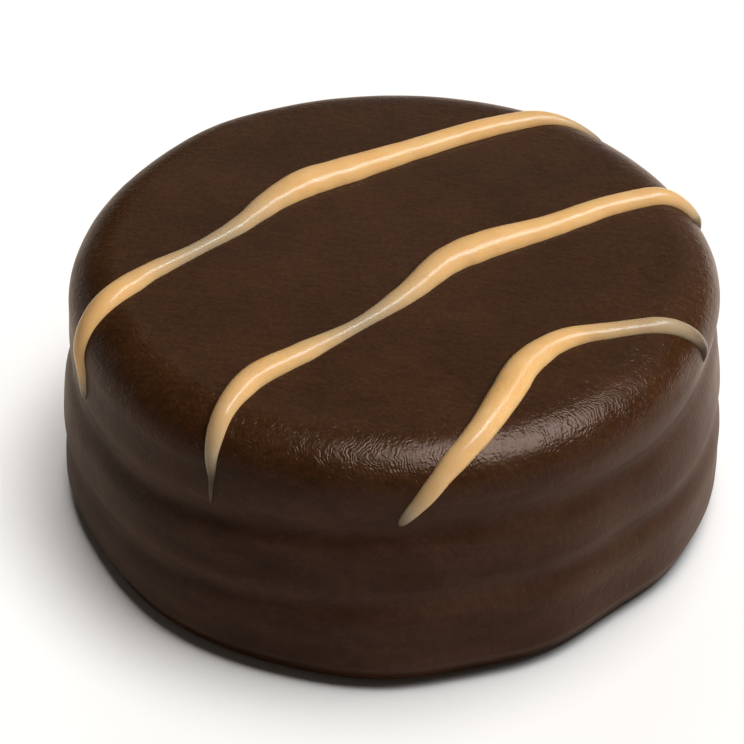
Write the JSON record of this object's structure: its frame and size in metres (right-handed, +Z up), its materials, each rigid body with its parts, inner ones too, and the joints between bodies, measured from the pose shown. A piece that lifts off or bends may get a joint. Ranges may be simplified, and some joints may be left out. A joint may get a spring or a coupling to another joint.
{
  "type": "alfajor cookie",
  "caption": "Thick round sandwich cookie dipped whole in dark chocolate, with soft grooves round its side and strands of caramel icing drizzled across the top.",
  "frame": {"origin": "centre of the flat base, on the surface the cookie stands on", "axes": "+Z up through the cookie's thickness, X and Y across it; the icing runs from -X -Y to +X +Y"},
  "size_m": [0.0668, 0.0662, 0.0283],
  "materials": {
    "chocolate_coat": "satin dark chocolate with a fine wrinkled skin",
    "caramel_icing": "satin caramel icing, paler where it is thin"
  },
  "bodies": {
    "root": {"coated_cookie": "chocolate_coat"}
  },
  "joints": []
}
